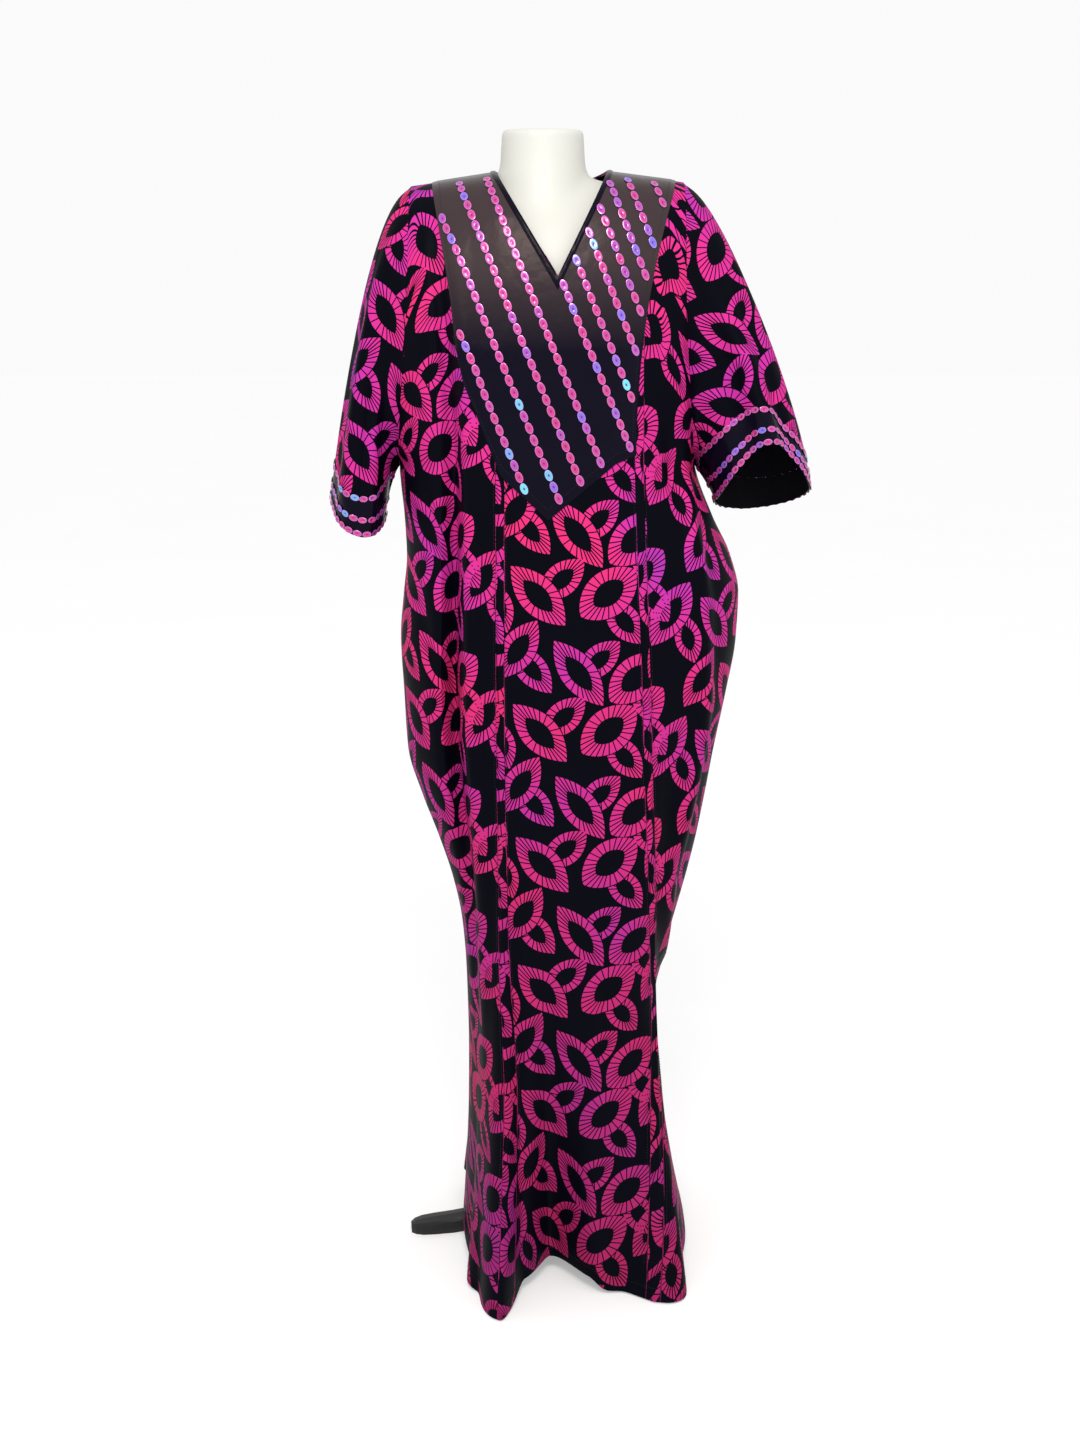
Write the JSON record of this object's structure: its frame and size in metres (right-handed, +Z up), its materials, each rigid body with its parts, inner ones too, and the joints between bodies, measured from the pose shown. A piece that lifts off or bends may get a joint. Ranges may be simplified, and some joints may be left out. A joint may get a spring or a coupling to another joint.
{
  "type": "boubou robe on a dress form stand",
  "caption": "Long printed wide-sleeved robe with a sequinned V-neck yoke, worn by a limbless dress form on a low three-legged stand.",
  "frame": {"origin": "on the floor under the middle of the stand, at the centre of the base's underside", "axes": "+Z up, the robe's front faces -Y, +X to the right of someone who looks at the front"},
  "size_m": [0.623, 0.4363, 1.515],
  "materials": {
    "printed_cloth": "satin cotton print",
    "satin": "satin",
    "ivory_form": "smooth",
    "black_stand": "smooth",
    "sequin": "iridescent",
    "thread": "thread"
  },
  "bodies": {
    "root": {"front": "printed_cloth", "back": "printed_cloth", "sleeve_left": "printed_cloth", "sleeve_right": "printed_cloth", "cuff_left": "satin", "cuff_right": "satin", "yoke": "satin", "neck_binding": "satin", "form_torso": "ivory_form", "stand_pole": "black_stand", "stand_base": "black_stand"}
  },
  "joints": []
}
